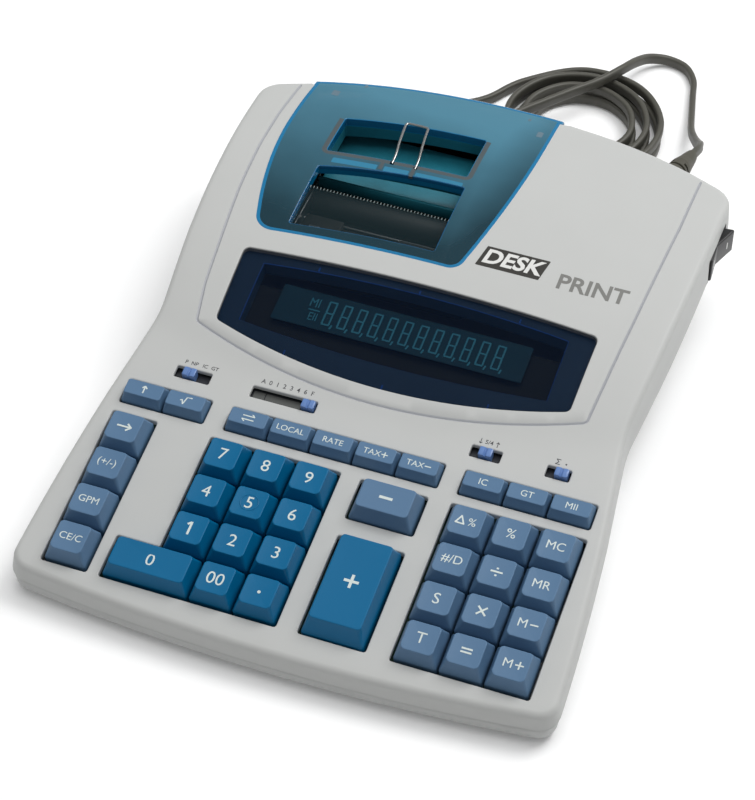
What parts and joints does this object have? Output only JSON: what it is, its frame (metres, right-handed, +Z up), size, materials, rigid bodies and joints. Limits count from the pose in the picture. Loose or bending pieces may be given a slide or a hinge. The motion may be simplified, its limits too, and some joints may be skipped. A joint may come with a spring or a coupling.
{
  "type": "desk calculator",
  "caption": "Mains desk printing calculator: sloped keyboard of sprung keys, slide switches, display behind a dark window, and a printer under a hinged see-through lid.",
  "frame": {"origin": "middle of the case's footprint, on the surface that its feet stand on", "axes": "+X to the user's right, +Y from the user towards the rear, +Z up"},
  "size_m": [0.2358, 0.4369, 0.061],
  "materials": {
    "case_top": "fine spark-eroded texture, light warm grey",
    "case_base": "fine spark-eroded texture, light warm grey",
    "number_keys": "semi-gloss moulded, bright blue with pale legends",
    "function_keys": "semi-gloss moulded, steel blue with pale legends",
    "sliders": "semi-gloss moulded, lilac blue",
    "window": "polished, dark navy, see-through",
    "tube": "dark glass with unlit digit segments",
    "board": "green solder mask",
    "cover": "polished, translucent blue",
    "tear_bar": "clear, with a toothed edge",
    "stand_wire": "bright drawn wire",
    "platen": "matte black rubber",
    "printer_frame": "black moulded",
    "rocker": "semi-gloss black, white marks",
    "strain_relief": "matte light olive grey, ribbed",
    "cord": "satin dark olive grey, flat two-core sheath",
    "plug": "satin moulded, nickel pins"
  },
  "bodies": {
    "case": {"upper_case": "case_top", "lower_case": "case_base", "display_window": "window", "display_tube": "tube", "circuit_board": "board", "printer_frame": "printer_frame", "strain_relief": "strain_relief", "power_cord": "cord", "cord_coil": "cord", "cord_tail": "cord", "mains_plug": "plug"},
    "cover": {"printer_cover": "cover", "tear_bar": "tear_bar"},
    "paper_stand": {"paper_stand": "stand_wire"},
    "power_rocker": {"power_rocker": "rocker"},
    "platen_roller": {"platen_roller": "platen"},
    "slider_decimal": {"slider_decimal": "sliders"},
    "slider_print_mode": {"slider_print_mode": "sliders"},
    "slider_rounding": {"slider_rounding": "sliders"},
    "slider_sum": {"slider_sum": "sliders"},
    "key_0": {"key_0": "number_keys"},
    "key_00": {"key_00": "number_keys"},
    "key_1": {"key_1": "number_keys"},
    "key_2": {"key_2": "number_keys"},
    "key_3": {"key_3": "number_keys"},
    "key_4": {"key_4": "number_keys"},
    "key_5": {"key_5": "number_keys"},
    "key_6": {"key_6": "number_keys"},
    "key_7": {"key_7": "number_keys"},
    "key_8": {"key_8": "number_keys"},
    "key_9": {"key_9": "number_keys"},
    "key_clear": {"key_clear": "function_keys"},
    "key_delta_percent": {"key_delta_percent": "function_keys"},
    "key_divide": {"key_divide": "function_keys"},
    "key_equals": {"key_equals": "function_keys"},
    "key_exchange": {"key_exchange": "function_keys"},
    "key_feed": {"key_feed": "function_keys"},
    "key_gpm": {"key_gpm": "function_keys"},
    "key_gt": {"key_gt": "function_keys"},
    "key_ic": {"key_ic": "function_keys"},
    "key_local": {"key_local": "function_keys"},
    "key_m2": {"key_m2": "function_keys"},
    "key_m_minus": {"key_m_minus": "function_keys"},
    "key_m_plus": {"key_m_plus": "function_keys"},
    "key_mc": {"key_mc": "function_keys"},
    "key_minus": {"key_minus": "function_keys"},
    "key_mr": {"key_mr": "function_keys"},
    "key_multiply": {"key_multiply": "function_keys"},
    "key_number_date": {"key_number_date": "function_keys"},
    "key_percent": {"key_percent": "function_keys"},
    "key_plus": {"key_plus": "number_keys"},
    "key_point": {"key_point": "number_keys"},
    "key_rate": {"key_rate": "function_keys"},
    "key_root": {"key_root": "function_keys"},
    "key_shift_right": {"key_shift_right": "function_keys"},
    "key_sign": {"key_sign": "function_keys"},
    "key_subtotal": {"key_subtotal": "function_keys"},
    "key_tax_minus": {"key_tax_minus": "function_keys"},
    "key_tax_plus": {"key_tax_plus": "function_keys"},
    "key_total": {"key_total": "function_keys"}
  },
  "joints": [
    {"name": "cover_hinge", "type": "hinge", "parent": "case", "child": "cover", "pos_m": [0, 0.1556, 0.0492], "axis": [-1, 0, 0], "range_deg": [0, 80]},
    {"name": "stand_hinge", "type": "hinge", "parent": "cover", "child": "paper_stand", "pos_m": [-0.03145, 0.093, 0.05895], "axis": [1, 0, 0], "range_deg": [0, 80]},
    {"name": "rocker_hinge", "type": "hinge", "parent": "case", "child": "power_rocker", "pos_m": [0.1115, 0.1035, 0.0433], "axis": [0, 0, 1], "range_deg": [0, 22]},
    {"name": "platen_spin", "type": "hinge", "parent": "case", "child": "platen_roller", "pos_m": [-0.034, 0.078, 0.038], "axis": [1, 0, 0], "continuous": true},
    {"name": "slide_print_mode", "type": "slide", "parent": "case", "child": "slider_print_mode", "axis": [1, 0, 0], "range_m": [-0.0033, 0.0066]},
    {"name": "slide_decimal", "type": "slide", "parent": "case", "child": "slider_decimal", "axis": [1, 0, 0], "range_m": [-0.0224, 0]},
    {"name": "slide_rounding", "type": "slide", "parent": "case", "child": "slider_rounding", "axis": [1, 0, 0], "range_m": [-0.0031, 0.0031]},
    {"name": "slide_sum", "type": "slide", "parent": "case", "child": "slider_sum", "axis": [1, 0, 0], "range_m": [-0.0037, 0]},
    {"name": "press_plus", "type": "slide", "parent": "case", "child": "key_plus", "axis": [0, 0.1736, -0.9848], "range_m": [0, 0.003], "stiffness_N_per_m": 150, "springref_m": -0.002},
    {"name": "press_minus", "type": "slide", "parent": "case", "child": "key_minus", "axis": [0, 0.1736, -0.9848], "range_m": [0, 0.003], "stiffness_N_per_m": 150, "springref_m": -0.002},
    {"name": "press_0", "type": "slide", "parent": "case", "child": "key_0", "axis": [0, 0.1736, -0.9848], "range_m": [0, 0.003], "stiffness_N_per_m": 150, "springref_m": -0.002},
    {"name": "press_5", "type": "slide", "parent": "case", "child": "key_5", "axis": [0, 0.1736, -0.9848], "range_m": [0, 0.003], "stiffness_N_per_m": 150, "springref_m": -0.002},
    {"name": "press_exchange", "type": "slide", "parent": "case", "child": "key_exchange", "axis": [0, 0.1736, -0.9848], "range_m": [0, 0.003], "stiffness_N_per_m": 150, "springref_m": -0.002},
    {"name": "press_00", "type": "slide", "parent": "case", "child": "key_00", "axis": [0, 0.1736, -0.9848], "range_m": [0, 0.003], "stiffness_N_per_m": 150, "springref_m": -0.002},
    {"name": "press_1", "type": "slide", "parent": "case", "child": "key_1", "axis": [0, 0.1736, -0.9848], "range_m": [0, 0.003], "stiffness_N_per_m": 150, "springref_m": -0.002},
    {"name": "press_2", "type": "slide", "parent": "case", "child": "key_2", "axis": [0, 0.1736, -0.9848], "range_m": [0, 0.003], "stiffness_N_per_m": 150, "springref_m": -0.002},
    {"name": "press_3", "type": "slide", "parent": "case", "child": "key_3", "axis": [0, 0.1736, -0.9848], "range_m": [0, 0.003], "stiffness_N_per_m": 150, "springref_m": -0.002},
    {"name": "press_4", "type": "slide", "parent": "case", "child": "key_4", "axis": [0, 0.1736, -0.9848], "range_m": [0, 0.003], "stiffness_N_per_m": 150, "springref_m": -0.002},
    {"name": "press_6", "type": "slide", "parent": "case", "child": "key_6", "axis": [0, 0.1736, -0.9848], "range_m": [0, 0.003], "stiffness_N_per_m": 150, "springref_m": -0.002},
    {"name": "press_7", "type": "slide", "parent": "case", "child": "key_7", "axis": [0, 0.1736, -0.9848], "range_m": [0, 0.003], "stiffness_N_per_m": 150, "springref_m": -0.002},
    {"name": "press_8", "type": "slide", "parent": "case", "child": "key_8", "axis": [0, 0.1736, -0.9848], "range_m": [0, 0.003], "stiffness_N_per_m": 150, "springref_m": -0.002},
    {"name": "press_9", "type": "slide", "parent": "case", "child": "key_9", "axis": [0, 0.1736, -0.9848], "range_m": [0, 0.003], "stiffness_N_per_m": 150, "springref_m": -0.002},
    {"name": "press_clear", "type": "slide", "parent": "case", "child": "key_clear", "axis": [0, 0.1736, -0.9848], "range_m": [0, 0.003], "stiffness_N_per_m": 150, "springref_m": -0.002},
    {"name": "press_delta_percent", "type": "slide", "parent": "case", "child": "key_delta_percent", "axis": [0, 0.1736, -0.9848], "range_m": [0, 0.003], "stiffness_N_per_m": 150, "springref_m": -0.002},
    {"name": "press_divide", "type": "slide", "parent": "case", "child": "key_divide", "axis": [0, 0.1736, -0.9848], "range_m": [0, 0.003], "stiffness_N_per_m": 150, "springref_m": -0.002},
    {"name": "press_equals", "type": "slide", "parent": "case", "child": "key_equals", "axis": [0, 0.1736, -0.9848], "range_m": [0, 0.003], "stiffness_N_per_m": 150, "springref_m": -0.002},
    {"name": "press_feed", "type": "slide", "parent": "case", "child": "key_feed", "axis": [0, 0.1736, -0.9848], "range_m": [0, 0.003], "stiffness_N_per_m": 150, "springref_m": -0.002},
    {"name": "press_gpm", "type": "slide", "parent": "case", "child": "key_gpm", "axis": [0, 0.1736, -0.9848], "range_m": [0, 0.003], "stiffness_N_per_m": 150, "springref_m": -0.002},
    {"name": "press_gt", "type": "slide", "parent": "case", "child": "key_gt", "axis": [0, 0.1736, -0.9848], "range_m": [0, 0.003], "stiffness_N_per_m": 150, "springref_m": -0.002},
    {"name": "press_ic", "type": "slide", "parent": "case", "child": "key_ic", "axis": [0, 0.1736, -0.9848], "range_m": [0, 0.003], "stiffness_N_per_m": 150, "springref_m": -0.002},
    {"name": "press_local", "type": "slide", "parent": "case", "child": "key_local", "axis": [0, 0.1736, -0.9848], "range_m": [0, 0.003], "stiffness_N_per_m": 150, "springref_m": -0.002},
    {"name": "press_m2", "type": "slide", "parent": "case", "child": "key_m2", "axis": [0, 0.1736, -0.9848], "range_m": [0, 0.003], "stiffness_N_per_m": 150, "springref_m": -0.002},
    {"name": "press_m_minus", "type": "slide", "parent": "case", "child": "key_m_minus", "axis": [0, 0.1736, -0.9848], "range_m": [0, 0.003], "stiffness_N_per_m": 150, "springref_m": -0.002},
    {"name": "press_m_plus", "type": "slide", "parent": "case", "child": "key_m_plus", "axis": [0, 0.1736, -0.9848], "range_m": [0, 0.003], "stiffness_N_per_m": 150, "springref_m": -0.002},
    {"name": "press_mc", "type": "slide", "parent": "case", "child": "key_mc", "axis": [0, 0.1736, -0.9848], "range_m": [0, 0.003], "stiffness_N_per_m": 150, "springref_m": -0.002},
    {"name": "press_mr", "type": "slide", "parent": "case", "child": "key_mr", "axis": [0, 0.1736, -0.9848], "range_m": [0, 0.003], "stiffness_N_per_m": 150, "springref_m": -0.002},
    {"name": "press_multiply", "type": "slide", "parent": "case", "child": "key_multiply", "axis": [0, 0.1736, -0.9848], "range_m": [0, 0.003], "stiffness_N_per_m": 150, "springref_m": -0.002},
    {"name": "press_number_date", "type": "slide", "parent": "case", "child": "key_number_date", "axis": [0, 0.1736, -0.9848], "range_m": [0, 0.003], "stiffness_N_per_m": 150, "springref_m": -0.002},
    {"name": "press_percent", "type": "slide", "parent": "case", "child": "key_percent", "axis": [0, 0.1736, -0.9848], "range_m": [0, 0.003], "stiffness_N_per_m": 150, "springref_m": -0.002},
    {"name": "press_point", "type": "slide", "parent": "case", "child": "key_point", "axis": [0, 0.1736, -0.9848], "range_m": [0, 0.003], "stiffness_N_per_m": 150, "springref_m": -0.002},
    {"name": "press_rate", "type": "slide", "parent": "case", "child": "key_rate", "axis": [0, 0.1736, -0.9848], "range_m": [0, 0.003], "stiffness_N_per_m": 150, "springref_m": -0.002},
    {"name": "press_root", "type": "slide", "parent": "case", "child": "key_root", "axis": [0, 0.1736, -0.9848], "range_m": [0, 0.003], "stiffness_N_per_m": 150, "springref_m": -0.002},
    {"name": "press_shift_right", "type": "slide", "parent": "case", "child": "key_shift_right", "axis": [0, 0.1736, -0.9848], "range_m": [0, 0.003], "stiffness_N_per_m": 150, "springref_m": -0.002},
    {"name": "press_sign", "type": "slide", "parent": "case", "child": "key_sign", "axis": [0, 0.1736, -0.9848], "range_m": [0, 0.003], "stiffness_N_per_m": 150, "springref_m": -0.002},
    {"name": "press_subtotal", "type": "slide", "parent": "case", "child": "key_subtotal", "axis": [0, 0.1736, -0.9848], "range_m": [0, 0.003], "stiffness_N_per_m": 150, "springref_m": -0.002},
    {"name": "press_tax_minus", "type": "slide", "parent": "case", "child": "key_tax_minus", "axis": [0, 0.1736, -0.9848], "range_m": [0, 0.003], "stiffness_N_per_m": 150, "springref_m": -0.002},
    {"name": "press_tax_plus", "type": "slide", "parent": "case", "child": "key_tax_plus", "axis": [0, 0.1736, -0.9848], "range_m": [0, 0.003], "stiffness_N_per_m": 150, "springref_m": -0.002},
    {"name": "press_total", "type": "slide", "parent": "case", "child": "key_total", "axis": [0, 0.1736, -0.9848], "range_m": [0, 0.003], "stiffness_N_per_m": 150, "springref_m": -0.002}
  ]
}
